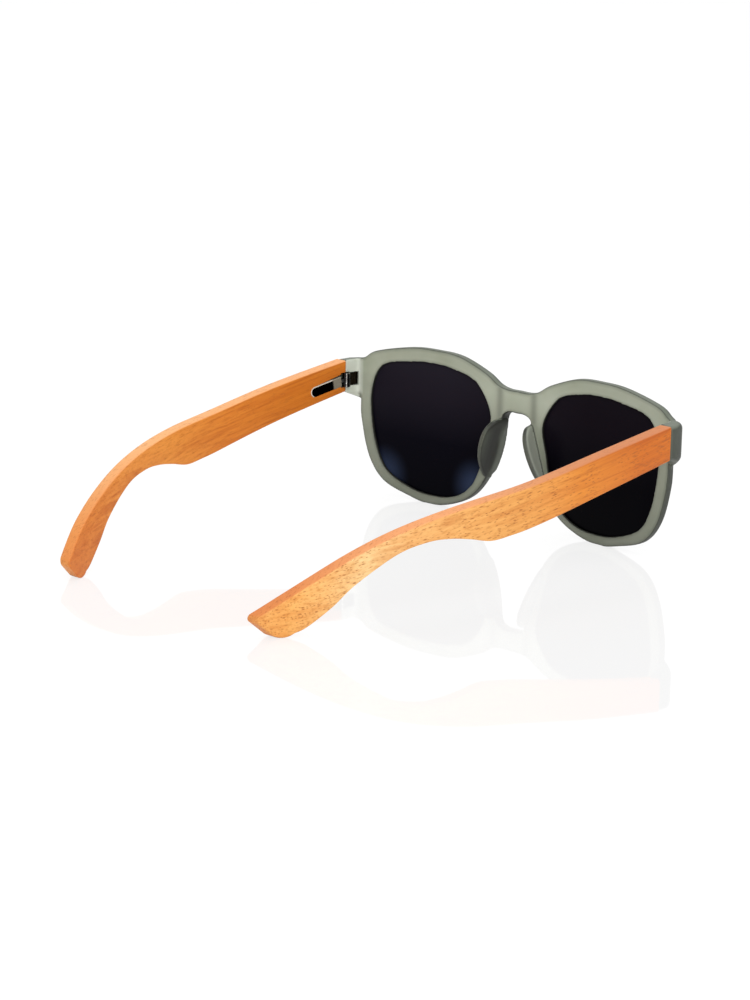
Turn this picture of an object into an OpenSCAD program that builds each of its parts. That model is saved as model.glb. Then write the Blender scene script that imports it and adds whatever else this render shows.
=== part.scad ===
// Sunglasses with a moulded frosted front and solid beech temples on spring hinges.
// The wearer's left is +X, the temples run back along +Y, and +Z is up.
// It stands as it would on a table: on both rims and on the tips of both temples.

/* [Front] */
// Width of one lens opening
lens_w = 49.8; // [44:0.1:54]
// Height of one lens opening
lens_h = 44.4; // [40:0.1:49]
// Distance between the two lens openings
bridge_w = 22.6; // [19:0.1:27]
// Height of the bridge's top edge above the table
bridge_top = 43.6; // [42:0.1:45.5]
// Height of the bridge itself, above the keyhole
bridge_h = 7.4; // [6:0.1:9]
// Rise of the upper edge from the bridge to the shoulder of the rim
brow_rise = 1; // [0:0.1:1.5]
// Width of the keyhole under the bridge
key_w = 12.8; // [11:0.1:15]
// Rounding of the keyhole's upper corners
key_r = 3.6; // [2:0.1:4.5]
// Height of the straight sides under those corners
key_side = 1.2; // [0.5:0.1:3]
// Rim above the lens opening
rim_top = 4.5; // [3:0.1:5]
// Rim at the temple side of the lens opening
rim_side = 4.6; // [3.4:0.1:6]
// Rim under the lens opening
rim_bottom = 3.1; // [2.6:0.1:5]
// Rim at the nose side of the lens opening
rim_nose = 4.9; // [4.2:0.1:5.6]
// Thickness of the front
front_t = 3.8; // [3.4:0.1:5]
// Radius to which the front is bowed
base_curve = 500; // [300:10:900]

/* [End pieces] */
// Distance from the lens opening to the outer face of the end piece
end_reach = 10.3; // [8.5:0.1:13]
// Height of the end piece's top edge above the table
end_top = 45.1; // [44:0.1:46.5]
// Height of the end piece
end_h = 10.7; // [9.6:0.1:11.5]
// Length over which the end piece grows out of the rim
end_root = 6.5; // [5:0.1:8]
// Rise of the upper edge over that length
end_rise = 0.6; // [0.3:0.1:2]
// Depth of the sweep from under the end piece down to the rim
end_sweep = 2.4; // [1.5:0.1:5]
// Rounding of the end piece's front corner
end_r = 6; // [2:0.1:7]
// Rounding between the end piece and the back of the front
end_fillet = 2.6; // [1:0.1:3.4]

/* [Lenses] */
// Thickness of a lens
lens_t = 2; // [1.4:0.1:2.4]
// Depth of the groove that a lens snaps into
groove = 0.8; // [0.5:0.05:1.2]

/* [Nose pads] */
// Length of a nose pad along the rim
pad_l = 21; // [18:0.5:24]
// How far a nose pad stands behind the rim
pad_d = 6.5; // [4:0.1:7.5]
// Thickness of a nose pad
pad_t = 2; // [1.5:0.1:2.4]
// Width of the ledge of the rim beside a nose pad
pad_ledge = 0.7; // [0.3:0.1:1]
// Height of a nose pad's middle above the middle of the nose side of the rim
pad_up = 4.4; // [2:0.1:6]
// Angle at which a nose pad opens towards the back
pad_splay = 12; // [0:1:25]

/* [Temples] */
// Distance from the back of the bridge to the seam between front and temple
set_back = 10.7; // [9.5:0.1:13]
// Length of a temple, measured straight back
temple_l = 144; // [130:1:160]
// Thickness of a temple
temple_t = 4.6; // [3.8:0.1:5]
// Height of a temple's top edge at the seam
temple_top = 45.1; // [43.5:0.1:46]
// Height of a temple at the seam
temple_h = 10.6; // [9.5:0.1:11.5]
// Slope of a temple, in degrees below level
temple_slope = 9.1; // [7:0.1:11]
// How far the tip bends in towards the head
tip_in = 29.2; // [10:0.1:34]
// How far the sloping end of the tip is cut back at its foot
tip_cut = 7.3; // [6:0.1:9]
// Rounding of the tip's upper corner
tip_r = 1.7; // [1:0.1:2]
// Height of the middle of that rounding above the table
tip_h = 5.8; // [5:0.1:6.6]
// Rounding of the tip's foot, which stands on the table
foot_r = 4.7; // [3.5:0.1:5.5]

/* [Hinges] */
// Height of the hinge above the underside of the temple at the seam
hinge_up = 4.1; // [3.4:0.1:4.8]
// Diameter of the knuckles
barrel_d = 2.7; // [2.6:0.05:3]
// Height of the knuckle on the slider
knuckle_h = 1.7; // [1.4:0.1:2]
// Height of each knuckle on the front
side_knuckle_h = 1.4; // [1.2:0.05:1.5]
// How far the pin stands inside the temple's inner face
pin_out = 0.3; // [0.2:0.05:0.5]
// Diameter of the hinge screw
screw_d = 1.4; // [1:0.05:1.5]
// Diameter of the screw's head
head_d = 2; // [1.7:0.05:2.1]
// Height of the screw's head
head_h = 0.65; // [0.4:0.05:0.7]
// Width of the slot in the screw's head
slot_w = 0.35; // [0.25:0.05:0.5]
// Length of the anchor let into the end piece
anchor_l = 4; // [3:0.1:4.5]
// Thickness of the anchor
anchor_t = 0.9; // [0.6:0.05:1.2]
// Number of teeth along each edge of the anchor
teeth = 4; // [2:1:6]
// Depth of a tooth
tooth_d = 0.4; // [0.2:0.05:0.6]
// Share of a tooth's length that slopes
tooth_slant = 0.6; // [0.4:0.05:0.8]

/* [Spring housings] */
// Length of a spring housing
house_l = 14.2; // [12:0.1:15]
// Height of a spring housing
house_h = 3.4; // [3.2:0.1:3.8]
// Depth of a spring housing
house_d = 3; // [2.8:0.05:3.2]
// How far a housing stands proud of the wood
house_proud = 0.15; // [0:0.05:0.25]
// Distance from the pin to the front of the housing
house_gap = 2.2; // [2:0.1:2.6]
// Length of the slider's carriage
carriage_l = 4.2; // [3.5:0.1:4.8]
// Width of the carriage across the temple
carriage_w = 2.1; // [1.8:0.05:2.2]
// Height of the carriage
carriage_h = 2.3; // [1.8:0.05:2.5]
// How far the carriage stands out of the housing at rest
carriage_out = 0.2; // [0.1:0.05:0.4]
// Diameter of the slider's rod
rod_d = 0.8; // [0.6:0.05:1]
// Depth to which the rod is set in the carriage
rod_in = 1; // [0.6:0.1:2]
// Length of the stop that the spring pushes on
stop_l = 1; // [0.6:0.1:1.4]
// Length of the spring
spring_l = 3.6; // [3:0.1:4]
// Mean diameter of the spring
spring_d = 1.5; // [1.4:0.05:1.65]
// Wire diameter of the spring
wire_d = 0.25; // [0.15:0.05:0.3]
// Number of turns of the spring
turns = 5; // [3:1:6]
// Length of the retainer at the end of the rod
retainer_l = 1; // [0.6:0.1:1.2]

/* [Fits] */
// Gap at the seam between the end piece and the temple
seam_gap = 0.2; // [0.1:0.05:0.4]
// Radial clearance of the hinge screw
run_fit = 0.05; // [0.02:0.01:0.1]
// Clearance between neighbouring knuckles
knuckle_fit = 0.05; // [0.03:0.01:0.1]
// Clearance on each side of the carriage and the rod
slide_fit = 0.06; // [0.03:0.01:0.1]
// Clearance on each side of a lens in its groove
lens_fit = 0.05; // [0.02:0.01:0.1]
// Clearance round the housing, the anchor and the pieces fixed in the housing
set_fit = 0.05; // [0.02:0.01:0.1]
// Free room round the knuckles in the wood and the plastic
knuckle_room = 0.25; // [0.2:0.05:0.4]
// Free room round the spring
spring_room = 0.2; // [0.1:0.05:0.25]
// Free room behind the carriage and behind the retainer
end_room = 0.4; // [0.3:0.05:0.6]

/* [Hidden] */
$fn = 48;
// Straight steps per span of a curve
steps = 4;
// Straight steps along the plan of a temple
plan_steps = 24;
// Sides of the cylinders that bow the front
bow_fn = 720;

lens_x = bridge_w/2 + lens_w/2;
lens_z = rim_bottom + lens_h/2;
rim_x = bridge_w/2 + lens_w;
end_x = rim_x + end_reach;
end_bot = end_top - end_h;
inner_x = end_x - temple_t;
key_z = bridge_top - bridge_h;

temple_y = set_back + seam_gap/2;
temple_bot = temple_top - temple_h;
pin_x = inner_x - pin_out;
hinge_z = temple_bot + hinge_up;
barrel_r = barrel_d/2;
stack_h = knuckle_h/2 + knuckle_fit + side_knuckle_h;
anchor_y = barrel_r + 2*knuckle_room;
anchor_x = pin_out + set_fit;

house_x = pin_out - house_proud;
bore_x = house_x + house_d/2;
carriage_y = house_gap - carriage_out;
chamber_y = carriage_y + carriage_l + end_room;
chamber_r = spring_d/2 + wire_d/2 + spring_room;
spring_y = chamber_y + stop_l + set_fit;
retainer_y = spring_y + spring_l + set_fit;
chamber_end = retainer_y + retainer_l + end_room;

// Length that reaches past the whole front, and how far a cut runs past what it cuts
far = 2*end_x;
over = barrel_r;
// Distance from the pin over which a pocket is cut open towards the head
open_x = barrel_d + pin_out;

// The part is centred between the bridge and the tips, over its own box
centre_y = (temple_y + temple_l - front_t)/2;

// Curves through points

function span(a, b, c, d, t) =
    b + t*(c - a)/2 + t*t*(2*a - 5*b + 4*c - d)/2 + t*t*t*(3*b - a - 3*c + d)/2;

function open_curve(p) =
    let (n = len(p))
    [for (i = [0:n-2], k = [0:steps-1])
        span(p[max(i-1, 0)], p[i], p[i+1], p[min(i+2, n-1)], k/steps),
     p[n-1]];

function loop_curve(p) =
    let (n = len(p))
    [for (i = [0:n-1], k = [0:steps-1])
        span(p[(i+n-1)%n], p[i], p[(i+1)%n], p[(i+2)%n], k/steps)];

function arc(c, r, angles) = [for (a = angles) c + r*[cos(a), sin(a)]];

function reversed(p) = [for (i = [len(p)-1:-1:0]) p[i]];

function mirrored(p) = [for (q = p) [-q[0], q[1]]];

// Outline of the lens opening, in halves of its width and height, from the temple side over the top

lens_shape = [
    [0.99, -0.03], [1, 0.47], [0.825, 0.85], [0.345, 0.97], [-0.035, 1], [-0.41, 0.955],
    [-0.755, 0.825], [-1, 0.41], [-0.93, -0.04], [-0.845, -0.42], [-0.665, -0.775], [-0.37, -0.96],
    [-0.01, -1], [0.325, -0.95], [0.7, -0.775], [0.88, -0.5]
];

function lens_point(i, grow = 0) =
    let (q = lens_shape[i])
    [lens_x + q[0]*(lens_w/2 + grow), lens_z + q[1]*(lens_h/2 + grow)];

function lens_outline(grow = 0) = loop_curve([for (i = [0:len(lens_shape)-1]) lens_point(i, grow)]);

// Point of the rim's outer edge beside a point of the lens opening
function rim_point(i, w) =
    let (n = len(lens_shape), d = lens_point((i+1)%n) - lens_point((i+n-1)%n))
    lens_point(i) + w*[d[1], -d[0]]/norm(d);

// The nose side of the rim, which carries the nose pad
nose_top = rim_point(8, rim_nose*1.1);
nose_low = rim_point(9, rim_nose*0.84);

// Left half of the front's outline: the upper edge out to the end piece, then the lower edge back in
upper_edge = [
    [0, bridge_top],
    [bridge_w*0.2, bridge_top],
    [bridge_w*0.38, bridge_top + brow_rise],
    rim_point(6, rim_top*1.17),
    rim_point(5, rim_top*1.1),
    rim_point(4, rim_top),
    rim_point(3, rim_top*1.06),
    rim_point(2, rim_top*1.28),
    [end_x - end_root, end_top + end_rise],
    [end_x - end_root*0.46, end_top + end_rise*0.19],
    [end_x, end_top]
];

lower_edge = concat(
    [
        [end_x, end_bot],
        [inner_x + end_sweep/4, end_bot - end_sweep/16],
        [rim_x + rim_side*1.15, end_bot - end_sweep*0.4],
        [rim_x + rim_side*1.02, end_bot - end_sweep],
        rim_point(0, rim_side),
        rim_point(15, rim_side*0.97),
        rim_point(14, rim_bottom*1.29),
        rim_point(13, rim_bottom),
        rim_point(12, rim_bottom*1.07),
        rim_point(11, rim_bottom*0.8),
        rim_point(10, rim_nose*0.55),
        nose_low,
        nose_top,
        [key_w/2, key_z - key_r - key_side]
    ],
    arc([key_w/2 - key_r, key_z - key_r], key_r, [0:45:90]),
    [[0, key_z]]
);

half_outline = concat(open_curve(upper_edge), open_curve(lower_edge));

module side(s) {
    if (s > 0) children();
    else mirror([1, 0, 0]) children();
}

module placed() {
    translate([0, -centre_y, 0]) children();
}

// Prism along Y of an outline drawn in X and Z
module through(outline) {
    translate([0, far/2, 0]) rotate([90, 0, 0]) linear_extrude(far) polygon(outline);
}

// Bowed shell between two depths behind the back of the front
module bowed(from, to) {
    translate([0, base_curve, -far/2]) difference() {
        cylinder(r = base_curve - from, h = far, $fn = bow_fn);
        translate([0, 0, -over]) cylinder(r = base_curve - to, h = far + 2*over, $fn = bow_fn);
    }
}

// Distance by which the bow sets the back of the front behind the bridge
function bow_y(x) = base_curve - sqrt(base_curve*base_curve - x*x);

// Hinge frame: the pin's axis at the height of the hinge
module at_hinge() {
    translate([pin_x, set_back, hinge_z]) children();
}

// Frame of the spring housing, sloped as the temple is
module along_temple() {
    at_hinge() rotate([-temple_slope, 0, 0]) children();
}

// Cylinder along the bore of the spring housing, from one distance behind the pin to another
module rod(r, from, to) {
    translate([bore_x, from, 0]) rotate([-90, 0, 0]) cylinder(r = r, h = to - from);
}

// Front

module end_piece() {
    back = set_back - seam_gap/2;
    root = bow_y(inner_x - end_fillet);
    outline = concat(
        [[end_x, root], [end_x, back], [inner_x, back]],
        [for (q = arc([0, 0], end_fillet, [0:15:90])) [inner_x - end_fillet + q[0], root + end_fillet - q[1]]],
        [[inner_x - end_fillet, root - front_t/2], [end_x - end_r, root - front_t/2]]
    );
    translate([0, 0, end_bot]) linear_extrude(end_h) polygon(outline);
}

module end_corner() {
    y = bow_y(end_x) - front_t;
    translate([end_x - end_r, y - over, 0]) difference() {
        cube([end_r + over, end_r + over, far]);
        translate([0, end_r + over, -over]) cylinder(r = end_r, h = far + 2*over);
    }
}

module nose_pad() {
    lean = atan2(nose_top[0] - nose_low[0], nose_top[1] - nose_low[1]);
    mid = (nose_top + nose_low)/2;
    r = (pad_l*pad_l/4 + pad_d*pad_d)/(2*pad_d);
    translate([mid[0], bow_y(mid[0]), mid[1]])
        rotate([0, lean, 0])
            rotate([0, 0, -pad_splay])
                intersection() {
                    translate([pad_ledge, pad_d - r, pad_up]) rotate([0, 90, 0]) cylinder(r = r, h = pad_t);
                    translate([-pad_t, -front_t/4, pad_up - pad_l]) cube([3*pad_t, pad_d + front_t, 2*pad_l]);
                }
}

// Saw-toothed outline of the anchor, in Y and Z of the hinge frame
function anchor_outline(grow) =
    let (p = anchor_l/teeth, h = stack_h + grow)
    concat(
        [[-anchor_y + over/2, -h + tooth_d], [-anchor_y + over/2, h - tooth_d]],
        [for (i = [0:teeth-1], k = [0:1]) [-anchor_y - p*(i + k*tooth_slant), h - (1 - k)*tooth_d]],
        [[-anchor_y - anchor_l - grow, h - tooth_d], [-anchor_y - anchor_l - grow, -h + tooth_d]],
        [for (i = [teeth-1:-1:0], k = [1:-1:0]) [-anchor_y - p*(i + k*tooth_slant), -h + (1 - k)*tooth_d]]
    );

module anchor_plate(x0, x1, grow) {
    translate([x0, 0, 0]) rotate([90, 0, 90]) linear_extrude(x1 - x0) polygon(anchor_outline(grow));
}

module front_hinge_pocket() {
    room = barrel_r + knuckle_room;
    at_hinge() {
        translate([-open_x, -anchor_y, -stack_h - knuckle_room])
            cube([open_x + room, anchor_y + over, 2*(stack_h + knuckle_room)]);
        anchor_plate(-open_x, anchor_x + anchor_t + set_fit, set_fit);
    }
}

module front_frame() {
    color("#a9af9f") placed() difference() {
        union() {
            intersection() {
                through(concat(half_outline, reversed(mirrored(half_outline))));
                union() {
                    bowed(-front_t, 0);
                    for (s = [1, -1]) side(s) nose_pad();
                }
            }
            for (s = [1, -1]) side(s) end_piece();
        }
        for (s = [1, -1]) side(s) {
            through(lens_outline());
            intersection() {
                through(lens_outline(groove + lens_fit));
                bowed(-front_t/2 - lens_t/2 - lens_fit, -front_t/2 + lens_t/2 + lens_fit);
            }
            end_corner();
            front_hinge_pocket();
        }
        // Flats on which the rims stand
        translate([-far/2, -far/2, -far]) cube([far, far, far]);
    }
}

// Lenses

module lens(s) {
    color("#1e1b26") placed() side(s) intersection() {
        through(lens_outline(groove));
        bowed(-front_t/2 - lens_t/2, -front_t/2 + lens_t/2);
    }
}

// Temples

// Height lost to the slope at a distance behind the seam
function drop(y) = y*tan(temple_slope);

// Edges of a temple from the seam back: distance as a share of its length, and how far the edge
// lies under the straight slope, as a share of what it lies under it at the tip
top_edge = [
    [0, 0], [0.21, -0.041], [0.411, -0.036], [0.551, -0.072], [0.656, -0.045],
    [0.746, 0.061], [0.831, 0.277], [0.917, 0.615]
];
low_edge = [
    [0, 0], [0.21, 0.053], [0.4, 0.155], [0.47, 0.151], [0.52, 0.097], [0.571, -0.16],
    [0.621, -0.369], [0.671, -0.466], [0.736, -0.364], [0.816, 0.165], [0.861, 0.665], [0.906, 1.064]
];

// Rounded upper corner of the tip, then its sloping end and its foot
tip_end = concat(
    arc([temple_l - tip_r, tip_h], tip_r, [60:-20:-60]),
    arc([temple_l - tip_cut, foot_r], foot_r, [-60:-10:-130])
);

// Edge that leaves the seam at a height and ends at a point of the tip
function temple_edge(edge, height, end) =
    let (fall = height - drop(temple_l) - end[1])
    open_curve(concat(
        [for (q = edge) [q[0]*temple_l, height - drop(q[0]*temple_l) - q[1]*fall]],
        [end]
    ));

function temple_side() =
    let (n = len(tip_end))
    concat(
        temple_edge(top_edge, temple_top, tip_end[0]),
        [for (i = [1:n-2]) tip_end[i]],
        reversed(temple_edge(low_edge, temple_bot, tip_end[n-1]))
    );

function bend_in(y) = tip_in*pow(y/temple_l, 3);

function temple_plan() =
    let (y = [for (i = [0:plan_steps]) (temple_l + over)*i/plan_steps])
    concat(
        [for (v = y) [end_x - bend_in(v), v]],
        [for (v = reversed(y)) [inner_x - bend_in(v), v]]
    );

module housing_pocket() {
    h = house_h/2 + set_fit;
    depth = open_x + house_x + house_d + set_fit;
    round_y = house_gap + house_l - house_h/2;
    along_temple() {
        translate([-open_x, -over, -h]) cube([depth, round_y + over, 2*h]);
        translate([-open_x, round_y, 0]) rotate([0, 90, 0]) cylinder(r = h, h = depth);
    }
    at_hinge() translate([-open_x, -over, -stack_h - knuckle_room])
        cube([depth, house_gap + over, 2*(stack_h + knuckle_room)]);
}

module temple(s) {
    color("#e0924a") placed() side(s) difference() {
        translate([0, temple_y, 0]) intersection() {
            rotate([90, 0, 90]) linear_extrude(end_x + over) polygon(temple_side());
            translate([0, 0, -over]) linear_extrude(temple_top + 2*over) polygon(temple_plan());
        }
        housing_pocket();
    }
}

// Hinges

module hinge_front(s) {
    low = knuckle_h/2 + knuckle_fit;
    color("#8d8f91") placed() side(s) at_hinge() difference() {
        union() {
            for (z = [low, -low - side_knuckle_h]) {
                translate([0, 0, z]) cylinder(r = barrel_r, h = side_knuckle_h);
                translate([anchor_x, -anchor_y, z]) cube([anchor_t, anchor_y, side_knuckle_h]);
            }
            intersection() {
                anchor_plate(anchor_x, anchor_x + anchor_t, 0);
                translate([0, -anchor_y - 2*anchor_l, -2*stack_h]) cube([2*anchor_l, 2*anchor_l, 4*stack_h]);
            }
        }
        translate([0, 0, -2*stack_h]) cylinder(r = screw_d/2 + run_fit, h = 4*stack_h);
        translate([0, 0, stack_h - head_h - run_fit]) cylinder(r = head_d/2 + run_fit, h = 2*stack_h);
    }
}

module hinge_screw(s) {
    color("#c9cbcd") placed() side(s) at_hinge() difference() {
        union() {
            translate([0, 0, -stack_h]) cylinder(d = screw_d, h = 2*stack_h - head_h/2);
            translate([0, 0, stack_h - head_h]) cylinder(d = head_d, h = head_h);
        }
        translate([-head_d, -slot_w/2, stack_h - head_h/2]) cube([2*head_d, slot_w, head_h]);
    }
}

module hinge_slider(s) {
    arm_h = knuckle_h - 2*barrel_r*tan(temple_slope);
    color("#b4b7ba") placed() side(s) difference() {
        union() {
            at_hinge() translate([0, 0, -knuckle_h/2]) cylinder(r = barrel_r, h = knuckle_h);
            along_temple() {
                translate([pin_out, 0, -arm_h/2]) cube([bore_x - pin_out, carriage_y + carriage_out/2, arm_h]);
                translate([bore_x - carriage_w/2, carriage_y, -carriage_h/2])
                    cube([carriage_w, carriage_l, carriage_h]);
            }
        }
        at_hinge() translate([0, 0, -stack_h]) cylinder(r = screw_d/2 + run_fit, h = 2*stack_h);
        along_temple()
            rod(rod_d/2 + set_fit/2, carriage_y + carriage_l - rod_in, carriage_y + carriage_l + rod_in);
    }
}

module slider_rod(s) {
    color("#c9cbcd") placed() side(s) along_temple()
        rod(rod_d/2, carriage_y + carriage_l - rod_in, retainer_y + retainer_l);
}

module spring_housing(s) {
    h = house_h/2;
    round_y = house_gap + house_l - h;
    slot_w = carriage_w + 2*slide_fit;
    slot_h = carriage_h + 2*slide_fit;
    color("#9a9c9e") placed() side(s) along_temple() difference() {
        union() {
            translate([house_x, house_gap, -h]) cube([house_d, house_l - h, house_h]);
            translate([house_x, round_y, 0]) rotate([0, 90, 0]) cylinder(r = h, h = house_d);
        }
        translate([bore_x - slot_w/2, house_gap - over, -slot_h/2])
            cube([slot_w, chamber_y - house_gap + over, slot_h]);
        rod(chamber_r, chamber_y - slide_fit, chamber_end);
    }
}

module spring_stop(s) {
    color("#8d8f91") placed() side(s) along_temple() difference() {
        rod(chamber_r - set_fit/2, chamber_y, chamber_y + stop_l);
        rod(rod_d/2 + slide_fit, chamber_y - over, chamber_y + stop_l + over);
    }
}

// The spring is one wire of six sides, wound by a formula
wire_sides = 6;
rings = 10;

function wire_points() =
    let (rise = spring_l - wire_d, n = turns*rings)
    [for (i = [0:n], k = [0:wire_sides-1])
        let (a = 360*i/rings, b = 360*k/wire_sides, r = spring_d/2 + wire_d/2*cos(b))
        [r*cos(a), r*sin(a), wire_d/2 + rise*i/n + wire_d/2*sin(b)]];

function wire_faces() =
    let (m = wire_sides, n = turns*rings)
    concat(
        [for (i = [0:n-1], k = [0:m-1]) [i*m + k, i*m + (k+1)%m, (i+1)*m + k]],
        [for (i = [0:n-1], k = [0:m-1]) [i*m + (k+1)%m, (i+1)*m + (k+1)%m, (i+1)*m + k]],
        [for (k = [1:m-2]) [0, k+1, k]],
        [for (k = [1:m-2]) [n*m, n*m + k, n*m + k+1]]
    );

module hinge_spring(s) {
    color("#c9cbcd") placed() side(s) along_temple() translate([bore_x, spring_y, 0])
        rotate([-90, 0, 0]) polyhedron(wire_points(), wire_faces());
}

module spring_retainer(s) {
    color("#8d8f91") placed() side(s) along_temple() difference() {
        rod(chamber_r - slide_fit, retainer_y, retainer_y + retainer_l);
        rod(rod_d/2 + set_fit/2, retainer_y - over, retainer_y + retainer_l + over);
    }
}

front_frame();
lens(1);  // lens_left
lens(-1);  // lens_right
temple(1);  // temple_left
temple(-1);  // temple_right
hinge_front(1);  // hinge_front_left
hinge_front(-1);  // hinge_front_right
hinge_screw(1);  // hinge_screw_left
hinge_screw(-1);  // hinge_screw_right
spring_housing(1);  // spring_housing_left
spring_housing(-1);  // spring_housing_right
hinge_slider(1);  // hinge_slider_left
hinge_slider(-1);  // hinge_slider_right
slider_rod(1);  // slider_rod_left
slider_rod(-1);  // slider_rod_right
spring_stop(1);  // spring_stop_left
spring_stop(-1);  // spring_stop_right
hinge_spring(1);  // hinge_spring_left
hinge_spring(-1);  // hinge_spring_right
spring_retainer(1);  // spring_retainer_left
spring_retainer(-1);  // spring_retainer_right
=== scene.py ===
import math
import bmesh
import bpy
from mathutils import Matrix, Quaternion, Vector
from mathutils.kdtree import KDTree


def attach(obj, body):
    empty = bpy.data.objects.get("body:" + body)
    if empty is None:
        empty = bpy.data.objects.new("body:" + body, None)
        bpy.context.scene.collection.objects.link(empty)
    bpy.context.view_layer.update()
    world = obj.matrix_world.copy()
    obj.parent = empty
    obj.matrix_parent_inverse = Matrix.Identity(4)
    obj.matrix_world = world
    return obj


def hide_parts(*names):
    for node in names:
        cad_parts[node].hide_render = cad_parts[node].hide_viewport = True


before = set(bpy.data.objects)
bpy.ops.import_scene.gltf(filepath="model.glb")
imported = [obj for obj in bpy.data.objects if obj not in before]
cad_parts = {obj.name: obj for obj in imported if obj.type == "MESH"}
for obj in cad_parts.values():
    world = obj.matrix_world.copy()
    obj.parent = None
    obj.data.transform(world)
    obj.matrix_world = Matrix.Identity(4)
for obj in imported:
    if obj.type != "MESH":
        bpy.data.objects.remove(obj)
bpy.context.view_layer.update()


# Camera: behind and beside the wearer's right temple, a little above the table, with a slight roll. It looks
# at a point near the middle of the sunglasses. Its places are in metres.
camera_azimuth = math.radians(223.89)
camera_rise = math.radians(13.61)
camera_roll = math.radians(1.16)
camera_distance = 0.8761
camera_aim = Vector((-0.00811, -0.00226, 0.02092))
towards_camera = Vector((math.sin(camera_azimuth)*math.cos(camera_rise),
                         -math.cos(camera_azimuth)*math.cos(camera_rise),
                         math.sin(camera_rise)))
camera_data = bpy.data.cameras.new("camera")
camera_data.lens = 104.04
camera_data.sensor_width = 36
camera_data.clip_start = 0.01
camera = bpy.data.objects.new("camera", camera_data)
camera.location = camera_aim + towards_camera*camera_distance
camera.rotation_mode = "QUATERNION"
camera.rotation_quaternion = ((-towards_camera).to_track_quat("-Z", "Y")
                              @ Quaternion((0, 0, 1), camera_roll))
bpy.context.scene.collection.objects.link(camera)
bpy.context.scene.camera = camera


# Front: one moulding of frosted, slightly translucent grey plastic, with both rims, the keyhole bridge, the
# nose pads and the end pieces. A flat plate is cut for the lenses, its edges are eased, and it is bowed, set
# back at the ends and blended with the pads. Sizes are in millimetres, behind the bridge's rear face.
lens_w = 49.8
lens_h = 44.4
bridge_w = 22.6
bridge_top = 43.6
bridge_h = 7.4
brow_x = 8.59
brow_rise = 1
key_w = 12.8
key_r = 3.6
key_side = 1.2
rim_bottom = 3.1
front_t = 3.8
bow_radius = 500
end_x = 71.4
end_t = 4.6
end_top = 45.1
end_bottom = 34.4
end_root = 6.5
end_rise = 0.65
end_sweep = 2.4
corner_r = 1.4
set_back = 10.7
seam_gap = 0.2
centre_y = 75.5
pin_x = 66.5
hinge_z = 38.6
lens_x = (lens_w + bridge_w)/2
lens_z = rim_bottom + lens_h/2
key_top = bridge_top - bridge_h
inner_x = end_x - end_t

# Points of the left lens, as shares of half its width and height, from the temple's side over the top.
lens_shape = [(0.99, -0.03), (1, 0.47), (0.825, 0.85), (0.345, 0.97), (-0.035, 1), (-0.41, 0.955),
              (-0.755, 0.825), (-1, 0.41), (-0.93, -0.04), (-0.845, -0.42), (-0.665, -0.775), (-0.37, -0.96),
              (-0.01, -1), (0.325, -0.95), (0.7, -0.775), (0.88, -0.5)]
# Width of the rim beside those points. Beside the other two the end piece and the bridge carry on.
rim_width = {0: 4.6, 2: 5.4, 3: 4.77, 4: 4.5, 5: 4.95, 6: 5.27, 8: 5.39, 9: 4.12, 10: 2.7, 11: 2.48, 12: 3.32,
             13: rim_bottom, 14: 4, 15: 4.46}


def curve(points, steps, closed=False):
    """Points along a smooth curve through the given ones."""
    n = len(points)
    out = []
    for i in range(n if closed else n - 1):
        near = [points[(i + k) % n] if closed else points[min(max(i + k, 0), n - 1)] for k in (-1, 0, 1, 2)]
        for j in range(steps):
            t = j/steps
            out.append(tuple(
                0.5*(2*b + (c - a)*t + (2*a - 5*b + 4*c - d)*t*t + (3*b - a - 3*c + d)*t**3)
                for a, b, c, d in zip(*near)))
    return out if closed else out + [tuple(points[-1])]


def arc(x, z, radius, degrees):
    """Points on a circle at the given angles."""
    return [(x + radius*math.cos(math.radians(a)), z + radius*math.sin(math.radians(a))) for a in degrees]


def lens_outline(grow, steps=10):
    """Outline of the left lens, grown by a margin."""
    return curve([(lens_x + x*(lens_w/2 + grow), lens_z + z*(lens_h/2 + grow)) for x, z in lens_shape],
                 steps, closed=True)


def rim_edge(i):
    """Point of the rim's outer edge, beside one point of the lens."""
    places = [(lens_x + x*lens_w/2, lens_z + z*lens_h/2) for x, z in lens_shape]
    before, here, after = (places[(i + k) % len(places)] for k in (-1, 0, 1))
    run = after[0] - before[0]
    climb = after[1] - before[1]
    size = math.hypot(run, climb)
    return here[0] + rim_width[i]*climb/size, here[1] - rim_width[i]*run/size


edge_steps = 8
upper = curve([(0, bridge_top), (bridge_w/5, bridge_top), (brow_x, bridge_top + brow_rise)]
              + [rim_edge(i) for i in (6, 5, 4, 3, 2)]
              + [(end_x - end_root, end_top + end_rise), (end_x - 2.99, end_top + 0.11),
                 (end_x - corner_r, end_top)], edge_steps)
corners = (arc(end_x - corner_r, end_top - corner_r, corner_r, range(75, -1, -15))
           + arc(end_x - corner_r, end_bottom + corner_r, corner_r, range(0, -76, -15)))
lower = curve([(end_x - 1.5, end_bottom), (end_x - 4, end_bottom - 0.15), (end_x - 5.01, end_bottom - 0.96),
               (end_x - 5.61, end_bottom - end_sweep)]
              + [rim_edge(i) for i in (0, 15, 14, 13, 12, 11, 10, 9, 8)]
              + [(key_w/2, key_top - key_r - key_side)]
              + arc(key_w/2 - key_r, key_top - key_r, key_r, (0, 45, 90)) + [(0, key_top)], edge_steps)
half = upper + corners + lower
outline = half + [(-x, z) for x, z in half[-2:0:-1]]


def plate(points, along):
    """Closed plate: a face through the points, extruded."""
    bm = bmesh.new()
    face = bm.faces.new([bm.verts.new(p) for p in points])
    grown = bmesh.ops.extrude_face_region(bm, geom=[face], use_keep_orig=True)
    moved = [v for v in grown["geom"] if isinstance(v, bmesh.types.BMVert)]
    bmesh.ops.translate(bm, vec=along, verts=moved)
    bmesh.ops.recalc_face_normals(bm, faces=bm.faces)
    return bm


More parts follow.
